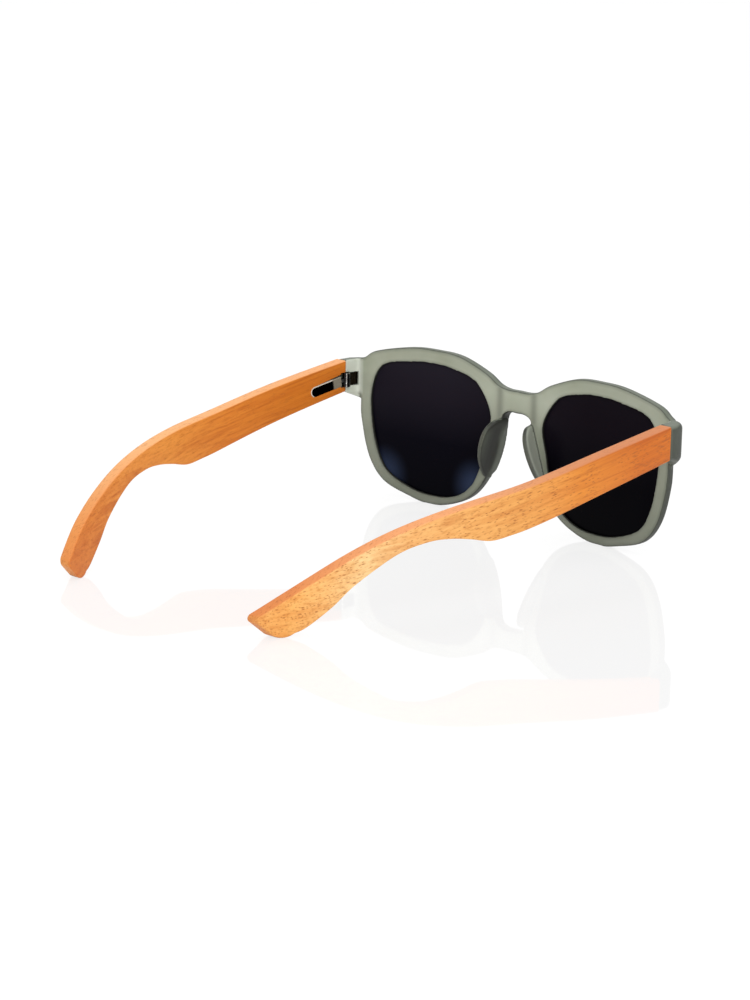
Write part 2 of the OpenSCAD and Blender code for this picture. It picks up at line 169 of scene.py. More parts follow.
def linked(bm, name):
    """Object of a finished bmesh."""
    mesh = bpy.data.meshes.new(name)
    bm.to_mesh(mesh)
    bm.free()
    made = bpy.data.objects.new(name, mesh)
    bpy.context.scene.collection.objects.link(made)
    return made


def baked(made):
    """Puts an object's modifiers into its mesh."""
    graph = bpy.context.evaluated_depsgraph_get()
    mesh = bpy.data.meshes.new_from_object(made.evaluated_get(graph))
    made.modifiers.clear()
    made.data = mesh


def cut(made, cutters):
    """Takes the cutters out of an object, and removes them."""
    for cutter in cutters:
        step = made.modifiers.new("cut", "BOOLEAN")
        step.operation = "DIFFERENCE"
        step.solver = "EXACT"
        step.object = cutter
    baked(made)
    for cutter in cutters:
        bpy.data.objects.remove(cutter)


front = linked(plate([(x, -front_t, max(z, 0)) for x, z in outline], (0, front_t, 0)), "front")
holes = []
for side in (1, -1):
    bm = plate([(side*x, -2*front_t, z) for x, z in lens_outline(0)], (0, 3*front_t, 0))
    holes.append(linked(bm, "hole"))
cut(front, holes)


def ease(bm, axis, place, radius, segments, skip=None):
    """Rounds the sharp edges that lie in the plane at a place on an axis."""
    edges = [e for e in bm.edges if all(abs(v.co[axis] - place) < 1e-4 for v in e.verts)
             and e.calc_face_angle() > 0.5 and not (skip and skip(e))]
    bmesh.ops.bevel(bm, geom=edges, offset=radius, offset_type="OFFSET", segments=segments, profile=0.5,
                    affect="EDGES", material=-1, clamp_overlap=False)


sight = {(round(x, 2), round(z, 2)) for x, z in lens_outline(0)}


def in_rim(edge):
    """Whether an edge runs round a lens."""
    return all((round(abs(v.co.x), 2), round(v.co.z, 2)) in sight for v in edge.verts)


def in_keyhole(edge):
    """Whether an edge runs under the bridge or down beside the nose."""
    return all(abs(v.co.x) < bridge_w/2 + 0.3 and v.co.z < key_top + 0.2 for v in edge.verts)


def slice_up(bm, axis, places):
    """Cuts the mesh across an axis at each place, so that it can bend there."""
    normal = [0, 0, 0]
    normal[axis] = 1
    for place in places:
        point = [0, 0, 0]
        point[axis] = place
        bmesh.ops.bisect_plane(bm, geom=bm.verts[:] + bm.edges[:] + bm.faces[:], plane_co=point,
                               plane_no=normal)


def bow(x):
    """How far the curve of the front sets a place back."""
    return bow_radius - math.sqrt(bow_radius**2 - x*x)


# The rims follow the bow. Outside them the front face turns back round a corner, the rear face runs into the
# end piece with a fillet, and the underside of the end piece slopes down to the rim.
front_ease = 1.7
rear_ease = 0.5
turn_r = 6
root_r = 2.6
slope_drop = 2.6
slope_run = 4
turn_x = end_x - turn_r
root_x = inner_x - root_r
bm = bmesh.new()
bm.from_mesh(front.data)
ease(bm, 1, -front_t, front_ease, 6, skip=lambda e: in_rim(e) or in_keyhole(e))
ease(bm, 1, 0, rear_ease, 3, skip=in_rim)
# The plate is cut across every 2.5 mm, and closely where the fillet and the corner bend it.
bends = ([2.5*i for i in range(1, 25)] + [root_x - 0.6 + 0.25*i for i in range(13)] + [inner_x + 0.06]
         + [inner_x + 0.7 + 0.5*i for i in range(8)])
slice_up(bm, 0, [side*x for side in (1, -1) for x in bends])
for v in bm.verts:
    x = abs(v.co.x)
    if v.co.y < -front_t/2:
        face = bow(x) - front_t
        if x > turn_x:
            face = bow(end_x) + turn_r - front_t - math.sqrt(max(turn_r**2 - (x - turn_x)**2, 0))
        v.co.y += front_t + face
        if x > turn_x + 0.3 and v.co.z < end_bottom + 1.6:
            v.co.z -= slope_drop*min((end_x - x)/slope_run, 1)
    elif x > inner_x + 0.03:
        v.co.y += set_back - seam_gap/2
    elif x > root_x:
        v.co.y += bow(root_x) + root_r - math.sqrt(max(root_r**2 - (x - root_x)**2, 0))
    else:
        v.co.y += bow(x)

# Each nose pad is a thin leaf on the rear of the rim, splayed and leaning with the side of the nose. Its
# profile gives depth and height.
pad_side = curve([(-2.4, -13.2), (0.4, -12.5), (2.8, -9.6), (4.8, -6), (6, -2), (6.3, 1.4), (5.9, 4.4),
                  (4.6, 6.7), (2.4, 8.3), (-2.4, 8.9)], 5)
pad_t = 2.1
pad_ease = 0.75
pad_splay = math.radians(12)
pad_place = (7.85, 0.2, 25)
nose_low = rim_edge(9)
nose_top = rim_edge(8)
pad_lean = 0.87*math.atan2(nose_top[0] - nose_low[0], nose_top[1] - nose_low[1])
for side in (1, -1):
    pad = plate([(0, y, z) for y, z in pad_side], (pad_t, 0, 0))
    for x in (0, pad_t):
        ease(pad, 0, x, pad_ease, 4)
    bmesh.ops.rotate(pad, cent=(0, 0, 0), matrix=Matrix.Rotation(-pad_splay, 3, "Z"), verts=pad.verts)
    bmesh.ops.rotate(pad, cent=(0, 0, 0), matrix=Matrix.Rotation(pad_lean, 3, "Y"), verts=pad.verts)
    bmesh.ops.translate(pad, vec=pad_place, verts=pad.verts)
    if side < 0:
        bmesh.ops.scale(pad, vec=(-1, 1, 1), verts=pad.verts)
        bmesh.ops.reverse_faces(pad, faces=pad.faces)
    loose = bpy.data.meshes.new("pad")
    pad.to_mesh(loose)
    pad.free()
    bm.from_mesh(loose)
    bpy.data.meshes.remove(loose)
bm.to_mesh(front.data)
bm.free()
step = front.modifiers.new("blend", "REMESH")
step.mode = "VOXEL"
step.voxel_size = 0.33
step = front.modifiers.new("soften", "SMOOTH")
step.factor = 0.5
step.iterations = 4
baked(front)


def box(low, high):
    """Block between two corners."""
    bm = bmesh.new()
    bmesh.ops.create_cube(bm, size=1)
    bmesh.ops.scale(bm, vec=[b - a for a, b in zip(low, high)], verts=bm.verts)
    bmesh.ops.translate(bm, vec=[(a + b)/2 for a, b in zip(low, high)], verts=bm.verts)
    return bm


# Each end piece has room for the knuckles of its hinge and, further in, a slot for the anchor. A row gives
# the reach beyond the screw, how far before the screw the space starts and ends, and the height.
knuckle_h = 5.1
sockets = []
for side in (1, -1):
    for reach, deep, shallow, tall in ((1.85, 1.85, -1.3, knuckle_h), (1.3, 5.85, 1.7, 4.6)):
        near, far = sorted((side*(pin_x - 0.3), side*(pin_x + reach)))
        low = (near, set_back - deep, hinge_z - tall/2)
        high = (far, set_back - shallow, hinge_z + tall/2)
        sockets.append(linked(box(low, high), "socket"))
cut(front, sockets)


def nearest_to(points):
    """Search tree of the points of an outline."""
    tree = KDTree(len(points))
    for i, (x, z) in enumerate(points):
        tree.insert((x, z, 0), i)
    tree.balance()
    return tree


def share(value, low, high):
    """How far a value has come from low to high, from 0 to 1."""
    return min(max((value - low)/(high - low), 0), 1)


def between(points, at):
    """Value at a place, on straight lines between the given places and values."""
    for (a, low), (b, high) in zip(points, points[1:]):
        if at <= b:
            return low + (high - low)*share(at, a, b)
    return points[-1][1]


# The moulding's colour carries painted light and shade, held in two attributes: painted shade on the walls
# round the lenses, painted shade and light in stretches on the nose pads, painted light on the inner sides of
# the end pieces, and painted shade in bands where the bridge meets the rims, on the outer walls and along the
# rims' edges.
nose_pad_shades = [(-3.6, 0.6), (-2.6, 0.08), (-1.2, 0.3), (0.6, 0.95), (2.2, 0.97), (4, 0.8), (6, 0.5)]
border = [(a[0] + (b[0] - a[0])*t/6, a[1] + (b[1] - a[1])*t/6)
          for a, b in zip(half, half[1:]) for t in range(6)]
lens_side = nearest_to(lens_outline(0, 40))
outer_side = nearest_to(border)
for name in ("dark", "pale"):
    front.data.attributes.new(name, "FLOAT", "POINT")
shade_values = front.data.attributes["dark"].data
light_values = front.data.attributes["pale"].data
for v, dark, pale in zip(front.data.vertices, shade_values, light_values):
    x, y, z = abs(v.co.x), v.co.y, v.co.z
    nosewards = -v.normal.x if v.co.x > 0 else v.normal.x
    rearwards = v.normal.y
    lens_gap = lens_side.find((x, z, 0))[2]
    by_nose = x < 14.5 and z > 11
    # Painted shade on the walls round the lens, strongest where they face sideways.
    if lens_gap < 0.6:
        dark.value = share(abs(rearwards), 0.8, 0.4)
    # Painted shade on the faces of the nose pads and keyhole that turn towards the nose, deepest under the
    # bridge.
    elif by_nose and z < 36.6 and max(nosewards, -v.normal.z if x < 6.6 else 0) > 0.35:
        under_bridge = share(z, 29, 32)
        dark.value = between(nose_pad_shades, y)*(1 - under_bridge) + 0.92*under_bridge
    # Painted shade on the rear faces of the nose pads, and painted light on their lens-side faces.
    elif by_nose and z < 35 and y > 0.8:
        dark.value = 0.75*share(rearwards, 0.35, 0.75)
        pale.value = 0.4*share(-nosewards, 0.2, 0.6)
    # Painted light on the inner side of the end piece.
    elif x > 63 and y > 2.5 and nosewards > 0.2:
        pale.value = share(nosewards, 0.2, 0.8)
    # Painted shade in a band where the bridge meets the rim.
    elif rearwards > 0.6 and z > 30 and x < 13:
        dark.value = 0.4*math.exp(-((x - 7.2)/1.5)**2)*share(z, 30, 35)
    # Painted shade on the outer walls.
    elif abs(rearwards) < 0.6 and v.normal.z < 0.7:
        dark.value = 0.65*share(abs(rearwards), 0.6, 0)*share(v.normal.z, 0.7, 0.3)
    # Painted shade in lines along the rim's inner and outer edges on the rear face.
    if rearwards > 0.6 and x < 66 and y < bow(x) + rear_ease:
        inner_edge_shade = 0.34*(1 - lens_gap/1.1)
        outer_edge_shade = 0.42*(1 - outer_side.find((x, z, 0))[2]/1.3)
        dark.value = max(dark.value, inner_edge_shade, outer_edge_shade)


def settled(made, angle):
    """Takes a piece from millimetres to metres in the frame, and shades it smooth below an angle."""
    made.data.transform(Matrix.Translation((0, -centre_y/1000, 0)) @ Matrix.Scale(0.001, 4))
    made.data.shade_smooth()
    made.data.set_sharp_from_angle(angle=math.radians(angle))


settled(front, 50)


def colour(code):
    """Linear colour of a hex code."""
    parts = [int(code[i:i + 2], 16)/255 for i in (1, 3, 5)]
    return tuple(c/12.92 if c <= 0.04045 else ((c + 0.055)/1.055)**2.4 for c in parts) + (1.0,)


def add_node(tree, kind, inputs=(), stops=(), **settings):
    """Adds a node, sets its properties and colour stops, and links or sets its inputs."""
    node = tree.nodes.new(kind)
    for key, value in settings.items():
        setattr(node, key, value)
    for key, value in dict(inputs).items():
        if isinstance(value, bpy.types.NodeSocket):
            tree.links.new(value, node.inputs[key])
        else:
            node.inputs[key].default_value = value
    elements = node.color_ramp.elements if stops else []
    while len(elements) < len(stops):
        elements.new(0.5)
    for element, (place, code) in zip(elements, stops):
        element.position = place
        element.color = colour(code)
    return node


def new_material(name):
    """Empty node material, its tree and its Principled shader."""
    material = bpy.data.materials.new(name)
    material.use_nodes = True
    return material, material.node_tree, material.node_tree.nodes["Principled BSDF"]


# Clear grey plastic, moulded and sprayed with a frosting: milky on the flats, with soft patches 11 mm across,
# and matt from a grit of a quarter millimetre. Shade is painted into its colour: darker on the walls by the
# way they face, and darker towards the table.
per_mm = 1000.0
frosted, tree, shader = new_material("frosted_plastic")
spot = add_node(tree, "ShaderNodeTexCoord")
normal = add_node(tree, "ShaderNodeSeparateXYZ", {0: spot.outputs["Normal"]})
place = add_node(tree, "ShaderNodeSeparateXYZ", {0: spot.outputs["Object"]})
mist = add_node(tree, "ShaderNodeTexNoise", {"Vector": spot.outputs["Object"], "Scale": 0.09*per_mm,
                                             "Detail": 3.0})
grit = add_node(tree, "ShaderNodeTexNoise", {"Vector": spot.outputs["Object"], "Scale": 4*per_mm,
                                             "Detail": 2.0})
# Painted shade: walls, facing neither front nor rear, are coloured darker.
turn = add_node(tree, "ShaderNodeMapRange", {0: normal.outputs["Y"], 1: -1.0, 2: 1.0})
shade = add_node(tree, "ShaderNodeValToRGB", {0: turn.outputs[0]},
                 stops=[(0.0, "#a9af9f"), (0.07, "#9da393"), (0.2, "#5d6357"), (0.35, "#3d423a"),
                        (0.5, "#6e7468"), (0.66, "#6a7064"), (0.84, "#4a4f45"), (0.965, "#a3a999"),
                        (1.0, "#a9af9f")])
milky = add_node(tree, "ShaderNodeValToRGB", {0: mist.outputs["Fac"]},
                 stops=[(0.3, "#eef0ea"), (0.7, "#ffffff")])
tint = add_node(tree, "ShaderNodeMix", {0: 1.0, 6: shade.outputs[0], 7: milky.outputs[0]}, data_type="RGBA",
                blend_type="MULTIPLY")
# Painted shade: darker towards the table, and a little darker again at the very top.
height = add_node(tree, "ShaderNodeMapRange", {0: place.outputs["Z"], 1: 0.0, 2: 0.052})
height_shade = add_node(tree, "ShaderNodeValToRGB", {0: height.outputs[0]},
                stops=[(0.03, "#b0b0ae"), (0.4, "#c2c2c0"), (0.7, "#e6e6e4"), (0.8, "#f8f8f8"),
                       (0.95, "#e6e6e4")])
tint = add_node(tree, "ShaderNodeMix", {0: 1.0, 6: tint.outputs[2], 7: height_shade.outputs[0]}, data_type="RGBA",
                blend_type="MULTIPLY")
# Painted light, from the attribute that holds it: a lighter grey-green.
light_attribute = add_node(tree, "ShaderNodeAttribute", attribute_name="pale")
tint = add_node(tree, "ShaderNodeMix", {0: light_attribute.outputs["Fac"], 6: tint.outputs[2], 7: colour("#c4c9bc")},
                data_type="RGBA")
# Painted shade, from the attribute that holds it: near black.
shade_attribute = add_node(tree, "ShaderNodeAttribute", attribute_name="dark")
tint = add_node(tree, "ShaderNodeMix", {0: shade_attribute.outputs["Fac"], 6: tint.outputs[2], 7: colour("#14150f")},
                data_type="RGBA")
bump = add_node(tree, "ShaderNodeBump", {"Strength": 0.12, "Distance": 0.00005,
                                         "Height": grit.outputs["Fac"]})
tree.links.new(tint.outputs[2], shader.inputs["Base Color"])
tree.links.new(bump.outputs[0], shader.inputs["Normal"])
shader.inputs["Roughness"].default_value = 0.5
shader.inputs["Specular IOR Level"].default_value = 0.35
shader.inputs["Subsurface Weight"].default_value = 0.15
shader.inputs["Subsurface Radius"].default_value = (0.0012, 0.0013, 0.0011)
shader.inputs["Subsurface Scale"].default_value = 1.0
front.data.materials.clear()
front.data.materials.append(frosted)
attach(front, "front")
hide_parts("front_frame")


# Lenses: dark violet plastic, cast and polished, bowed with the front and snapped into the groove of each rim.
# Painted shade darkens them towards the table and darkens the right lens, and the left lens shows two soft
# bluish patches of painted reflection near its bottom.
lens_t = 2
groove = 0.75
lens_ease = 0.3
reflection_reach = 0.011
painted_reflection_spots = ((0.056, -0.076, 0.0075), (0.0175, -0.076, 0.0085))
tinted, tree, shader = new_material("tinted_lens")
spot = add_node(tree, "ShaderNodeTexCoord")
place = add_node(tree, "ShaderNodeSeparateXYZ", {0: spot.outputs["Object"]})
# Painted shade: darker towards the table.
height = add_node(tree, "ShaderNodeMapRange", {0: place.outputs["Z"], 1: 0.003, 2: 0.048})
shade = add_node(tree, "ShaderNodeValToRGB", {0: height.outputs[0]},
                 stops=[(0.0, "#020206"), (0.4, "#06050d"), (0.75, "#1a171f"), (1.0, "#1f1c24")])
# Painted shade: the right lens, at negative x, darker than the left.
across = add_node(tree, "ShaderNodeMapRange", {0: place.outputs["X"], 1: -0.03, 2: 0.03})
side_shade = add_node(tree, "ShaderNodeValToRGB", {0: across.outputs[0]},
                 stops=[(0.0, "#ad9fa8"), (1.0, "#ffffff")])
tint = add_node(tree, "ShaderNodeMix", {0: 1.0, 6: shade.outputs[0], 7: side_shade.outputs[0]}, data_type="RGBA",
                blend_type="MULTIPLY")
# Painted reflections: two soft bluish patches on the left lens.
for patch in painted_reflection_spots:
    far = add_node(tree, "ShaderNodeVectorMath", {0: spot.outputs["Object"], 1: patch}, operation="DISTANCE")
    near = add_node(tree, "ShaderNodeMapRange",
                    {0: far.outputs["Value"], 1: reflection_reach, 2: 0.0, 3: 0.0, 4: 0.5},
                    interpolation_type="SMOOTHSTEP")
    tint = add_node(tree, "ShaderNodeMix", {0: near.outputs[0], 6: tint.outputs[2], 7: colour("#3c4a68")},
                    data_type="RGBA")
tree.links.new(tint.outputs[2], shader.inputs["Base Color"])
shader.inputs["Roughness"].default_value = 0.3
shader.inputs["Specular IOR Level"].default_value = 0.02
lens_front = -(front_t + lens_t)/2
for side, name in ((1, "left"), (-1, "right")):
    bm = plate([(side*x, lens_front, z) for x, z in lens_outline(groove)], (0, lens_t, 0))
    for y in (lens_front, lens_front + lens_t):
        ease(bm, 1, y, lens_ease, 3)
    slice_up(bm, 0, [side*(12 + 2*i) for i in range(25)])
    for v in bm.verts:
        v.co.y += bow(v.co.x)
    lens = linked(bm, "lens_" + name + "_dressed")
    settled(lens, 40)
    lens.data.materials.append(tinted)
    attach(lens, "front")
    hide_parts("lens_" + name)


# Temples: solid beech, sawn from the board, bent in towards the ear, edges eased and oiled. Each has a
# round-ended pocket on the inside for its spring housing, and room for the knuckles at its front end.
temple_l = 144
temple_bottom = 34.5
temple_ease = 0.55
slope = math.radians(9.1)
tip_in = 29.2
tip_twist = 0.2
tip_r = 1.7
tip_h = 5.8
foot_r = 4.7
foot_cut = 7.3
pocket_floor = 69.7
pocket_l = 14.7
pocket_r = 1.75
pocket_mouth = 2.6
open_side = 60
# Places along each edge, as shares of the length, and how far they lie below the slope, as shares of the drop
# at the tip.
top_edge = [(0, 0), (0.21, -0.041), (0.411, -0.036), (0.551, -0.072), (0.656, -0.045), (0.746, 0.061),
            (0.831, 0.277), (0.917, 0.615)]
bottom_edge = [(0, 0), (0.21, 0.053), (0.4, 0.155), (0.47, 0.151), (0.52, 0.097), (0.571, -0.16),
               (0.621, -0.369), (0.671, -0.466), (0.736, -0.364), (0.816, 0.165), (0.861, 0.665),
               (0.906, 1.064)]
tip = (arc(temple_l - tip_r, tip_h, tip_r, range(60, -61, -20))
       + arc(temple_l - foot_cut, foot_r, foot_r, range(-60, -131, -10)))


def temple_edge(edge, height, end):
    """One edge of a temple, in distance behind the seam and height."""
    drop = height - temple_l*math.tan(slope) - end[1]
    points = [(y*temple_l, height - y*temple_l*math.tan(slope) - down*drop) for y, down in edge]
    return curve(points + [end], 12)


def from_hinge(tree, spot):
    """How far a place lies behind the hinge screw along the temple, and how far above it, as sockets."""
    screw = (0, (set_back - centre_y)/1000, hinge_z/1000)
    gap = add_node(tree, "ShaderNodeVectorMath", {0: spot.outputs["Object"], 1: screw}, operation="SUBTRACT")
    backwards = (0, math.cos(slope), -math.sin(slope))
    upwards = (0, math.sin(slope), math.cos(slope))
    behind = add_node(tree, "ShaderNodeVectorMath", {0: gap.outputs[0], 1: backwards},
                      operation="DOT_PRODUCT")
    above = add_node(tree, "ShaderNodeVectorMath", {0: gap.outputs[0], 1: upwards}, operation="DOT_PRODUCT")
    return behind.outputs["Value"], above.outputs["Value"]


top_line = temple_edge(top_edge, end_top, tip[0])
bottom_line = temple_edge(bottom_edge, temple_bottom, tip[-1])
side_view = top_line + tip[1:-1] + bottom_line[::-1]
pocket_view = ([(-3, -pocket_r), (pocket_l, -pocket_r)] + arc(pocket_l, 0, pocket_r, range(-75, 76, 15))
               + [(pocket_l, pocket_r), (-3, pocket_mouth)])
for side, name in ((1, "left"), (-1, "right")):
    bm = plate([(inner_x, y, z) for y, z in side_view], (end_t, 0, 0))
    for x in (inner_x, end_x):
        ease(bm, 0, x, temple_ease, 4, skip=lambda e: all(v.co.y < 0.01 for v in e.verts))
    temple = linked(bm, "temple_" + name + "_dressed")
    bm = plate([(open_side, y, z) for y, z in pocket_view], (pocket_floor - open_side, 0, 0))
    bmesh.ops.rotate(bm, cent=(0, 0, 0), matrix=Matrix.Rotation(-slope, 3, "X"), verts=bm.verts)
    bmesh.ops.translate(bm, vec=(0, -seam_gap/2, hinge_z), verts=bm.verts)
    room = box((open_side, -3, hinge_z - knuckle_h/2), (pocket_floor, 2.1, hinge_z + knuckle_h/2))
    cut(temple, [linked(bm, "pocket"), linked(room, "room")])
    bm = bmesh.new()
    bm.from_mesh(temple.data)
    slice_up(bm, 1, [2.0*i for i in range(1, 72)])
    for v in bm.verts:
        back_along = max(v.co.y, 0)/temple_l
        middle = (between(top_line, v.co.y) + between(bottom_line, v.co.y))/2
        v.co.x -= tip_in*back_along**3 + tip_twist*(middle - v.co.z)*back_along**2
        v.co.y += set_back + seam_gap/2
    if side < 0:
        bmesh.ops.scale(bm, vec=(-1, 1, 1), verts=bm.verts)
        bmesh.ops.reverse_faces(bm, faces=bm.faces)
    bm.to_mesh(temple.data)
    bm.free()
    settled(temple, 40)

    # Oiled beech, cut along the grain: fine streaks, year bands 3 mm wide, and short dark ray flecks in rows.
    # Flecks and streaks are drawn about half a millimetre wide, coarser than real ones, so that they show.
    beech, tree, shader = new_material("beech_" + name)
    spot = add_node(tree, "ShaderNodeTexCoord")
    normal = add_node(tree, "ShaderNodeSeparateXYZ", {0: spot.outputs["Normal"]})
    place = add_node(tree, "ShaderNodeSeparateXYZ", {0: spot.outputs["Object"]})
    grain = add_node(tree, "ShaderNodeMapping", {"Vector": spot.outputs["Object"],
                                                 "Location": (0, 0.07*side, 0.02*side),
                                                 "Rotation": (slope, 0, 0)})
    long_lines = add_node(tree, "ShaderNodeMapping", {"Vector": grain.outputs[0],
                                                      "Scale": Vector((1.3, 0.024, 1.3))*per_mm})
    streaks = add_node(tree, "ShaderNodeTexNoise", {"Vector": long_lines.outputs[0], "Scale": 1.0,
                                                    "Detail": 5.0, "Roughness": 0.65})
    bands = add_node(tree, "ShaderNodeMapping", {"Vector": grain.outputs[0],
                                                 "Scale": Vector((0.16, 0.007, 0.3))*per_mm})
    years = add_node(tree, "ShaderNodeTexNoise", {"Vector": bands.outputs[0], "Scale": 1.0, "Detail": 2.0,
                                                  "Distortion": 0.6})
    marks = None
    for across, along, few in ((2.3, 0.62, 0.5), (1.5, 0.3, 0.62)):
        dashes = add_node(tree, "ShaderNodeMapping", {"Vector": grain.outputs[0],
                                                      "Scale": Vector((across, along, across))*per_mm})
        cells = add_node(tree, "ShaderNodeTexVoronoi", {"Vector": dashes.outputs[0], "Scale": 1.0,
                                                        "Randomness": 1.0})
        pick = add_node(tree, "ShaderNodeSeparateXYZ", {0: cells.outputs["Color"]})
        dot = add_node(tree, "ShaderNodeMapRange", {0: cells.outputs["Distance"], 1: 0.45, 2: 0.15})
        chosen = add_node(tree, "ShaderNodeMapRange", {0: pick.outputs["X"], 1: few, 2: few + 0.25})
        fleck = add_node(tree, "ShaderNodeMath", {0: dot.outputs[0], 1: chosen.outputs[0]},
                         operation="MULTIPLY")
        if marks:
            fleck = add_node(tree, "ShaderNodeMath", {0: fleck.outputs[0], 1: marks.outputs[0]},
                             operation="MAXIMUM")
        marks = fleck
    rows = add_node(tree, "ShaderNodeMapRange", {0: years.outputs["Fac"], 1: 0.35, 2: 0.6, 3: 0.45, 4: 1.0})
    marks = add_node(tree, "ShaderNodeMath", {0: marks.outputs[0], 1: rows.outputs[0]}, operation="MULTIPLY")

    # The two broad faces keep their own tones, and so does the sawn top edge.
    outward = add_node(tree, "ShaderNodeMapRange", {0: normal.outputs["X"], 1: -0.4*side, 2: 0.4*side})
    along = add_node(tree, "ShaderNodeMapRange", {0: place.outputs["Y"], 1: -0.065, 2: 0.079})
    outer = add_node(tree, "ShaderNodeValToRGB", {0: along.outputs[0]},
                     stops=[(0.1, "#ca6d18"), (0.28, "#da882e"), (0.47, "#e4a65a"), (0.6, "#e8ae66"),
                            (0.71, "#eab370"), (0.81, "#f0ca90"), (0.88, "#ecb671"), (0.95, "#ecb062")])
    inner = add_node(tree, "ShaderNodeValToRGB", {0: along.outputs[0]},
                     stops=[(0.17, "#d07820"), (0.38, "#d7802a"), (0.59, "#df903b"), (0.76, "#de8e40"),
                            (0.94, "#d07a32")])
    body = add_node(tree, "ShaderNodeMix", {0: outward.outputs[0], 6: inner.outputs[0], 7: outer.outputs[0]},
                    data_type="RGBA")
    line = add_node(tree, "ShaderNodeValToRGB", {0: streaks.outputs["Fac"]},
                    stops=[(0.28, "#d9c3a6"), (0.48, "#f8f3ec"), (0.7, "#ffffff")])
    body = add_node(tree, "ShaderNodeMix", {0: 1.0, 6: body.outputs[2], 7: line.outputs[0]}, data_type="RGBA",
                    blend_type="MULTIPLY")
    ring = add_node(tree, "ShaderNodeValToRGB", {0: years.outputs["Fac"]},
                    stops=[(0.3, "#e2c9b2"), (0.5, "#ffffff"), (0.72, "#ecd8c4")])
    body = add_node(tree, "ShaderNodeMix", {0: 0.8, 6: body.outputs[2], 7: ring.outputs[0]}, data_type="RGBA",
                    blend_type="MULTIPLY")
    upright = add_node(tree, "ShaderNodeMapRange", {0: normal.outputs["Z"], 1: 0.35, 2: 0.85, 4: 0.75})
    sawn = ("#f0b27a", "#eeb077", "#d8843e") if side > 0 else ("#c47f55", "#e49a66", "#cf7840")
    edge = add_node(tree, "ShaderNodeValToRGB", {0: along.outputs[0]},
                    stops=list(zip((0.3, 0.65, 0.95), sawn)))
    body = add_node(tree, "ShaderNodeMix", {0: upright.outputs[0], 6: body.outputs[2], 7: edge.outputs[0]},
                    data_type="RGBA")
    amount = add_node(tree, "ShaderNodeMapRange", {0: outward.outputs[0], 3: 0.32, 4: 0.85})
    amount = add_node(tree, "ShaderNodeMath", {0: amount.outputs[0], 1: marks.outputs[0]},
                      operation="MULTIPLY")
    body = add_node(tree, "ShaderNodeMix", {0: amount.outputs[0], 6: body.outputs[2], 7: colour("#96501c")},
                    data_type="RGBA")
    tip_wood = add_node(tree, "ShaderNodeMapRange", {0: place.outputs["Y"], 1: 0.07, 2: 0.079, 4: 0.2})
    body = add_node(tree, "ShaderNodeMix", {0: tip_wood.outputs[0], 6: body.outputs[2], 7: colour("#c46a30")},
                    data_type="RGBA")

    # Painted shade: the wood inside the pocket is coloured dark brown, as the shadow of the recess.
    behind, above = from_hinge(tree, spot)
    level = add_node(tree, "ShaderNodeMath", {0: above}, operation="ABSOLUTE")
    pocket_shade = add_node(tree, "ShaderNodeMapRange", {0: level.outputs[0], 1: 0.0029, 2: 0.0027})
    for source, open_at, shaded_at in ((place.outputs["X"], 0.06705*side, 0.0674*side),
                                   (place.outputs["X"], 0.0701*side, 0.0699*side),
                                   (place.outputs["Y"], -0.047, -0.0475)):
        gate = add_node(tree, "ShaderNodeMapRange", {0: source, 1: open_at, 2: shaded_at})
        pocket_shade = add_node(tree, "ShaderNodeMath", {0: pocket_shade.outputs[0], 1: gate.outputs[0]},
                          operation="MULTIPLY")
    body = add_node(tree, "ShaderNodeMix", {0: pocket_shade.outputs[0], 6: body.outputs[2], 7: colour("#3a1608")},
                    data_type="RGBA")
    dip = add_node(tree, "ShaderNodeMath", {0: marks.outputs[0], 1: -0.5, 2: streaks.outputs["Fac"]},
                   operation="MULTIPLY_ADD")
    bump = add_node(tree, "ShaderNodeBump", {"Strength": 0.25, "Distance": 0.0001, "Height": dip.outputs[0]})
    gloss = add_node(tree, "ShaderNodeMapRange", {0: streaks.outputs["Fac"], 3: 0.5, 4: 0.62})
    tree.links.new(body.outputs[2], shader.inputs["Base Color"])
    tree.links.new(bump.outputs[0], shader.inputs["Normal"])
    tree.links.new(gloss.outputs[0], shader.inputs["Roughness"])
    shader.inputs["Specular IOR Level"].default_value = 0.3
    temple.data.materials.clear()
    temple.data.materials.append(beech)
    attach(temple, name + "_temple")
    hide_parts("temple_" + name)


# Hinges: the imported steel pieces stay, with their edges eased. The knuckles are turned and polished, and
# their dark and bright lines are painted reflections. The housing is blackened, with a painted highlight along
# its edge and a painted reflection on its mouth.
def steel(name, roughness, axis, stops):
    """Drawn steel with painted reflections, its tone following the way it faces: its material, tree, shader,
    spot and tone.
    """
    material, tree, shader = new_material(name)
    spot = add_node(tree, "ShaderNodeTexCoord")
    normal = add_node(tree, "ShaderNodeSeparateXYZ", {0: spot.outputs["Normal"]})
    turn = add_node(tree, "ShaderNodeMapRange", {0: normal.outputs[axis], 1: -1.0, 2: 1.0})
    tone = add_node(tree, "ShaderNodeValToRGB", {0: turn.outputs[0]}, stops=stops)
    drawn = add_node(tree, "ShaderNodeMapping", {"Vector": spot.outputs["Object"],
                                                 "Scale": Vector((6, 0.4, 6))*per_mm})
    lines = add_node(tree, "ShaderNodeTexNoise", {"Vector": drawn.outputs[0], "Scale": 1.0, "Detail": 3.0})
    wear = add_node(tree, "ShaderNodeValToRGB", {0: lines.outputs["Fac"]},
                    stops=[(0.3, "#d8d8d8"), (0.7, "#ffffff")])
    tone = add_node(tree, "ShaderNodeMix", {0: 1.0, 6: tone.outputs[0], 7: wear.outputs[0]}, data_type="RGBA",
                    blend_type="MULTIPLY")
    rough = add_node(tree, "ShaderNodeMapRange", {0: lines.outputs["Fac"], 3: 0.8*roughness,
                                                  4: 1.3*roughness})
    tree.links.new(tone.outputs[2], shader.inputs["Base Color"])
    tree.links.new(rough.outputs[0], shader.inputs["Roughness"])
    shader.inputs["Metallic"].default_value = 1.0
    return material, tree, shader, spot, tone


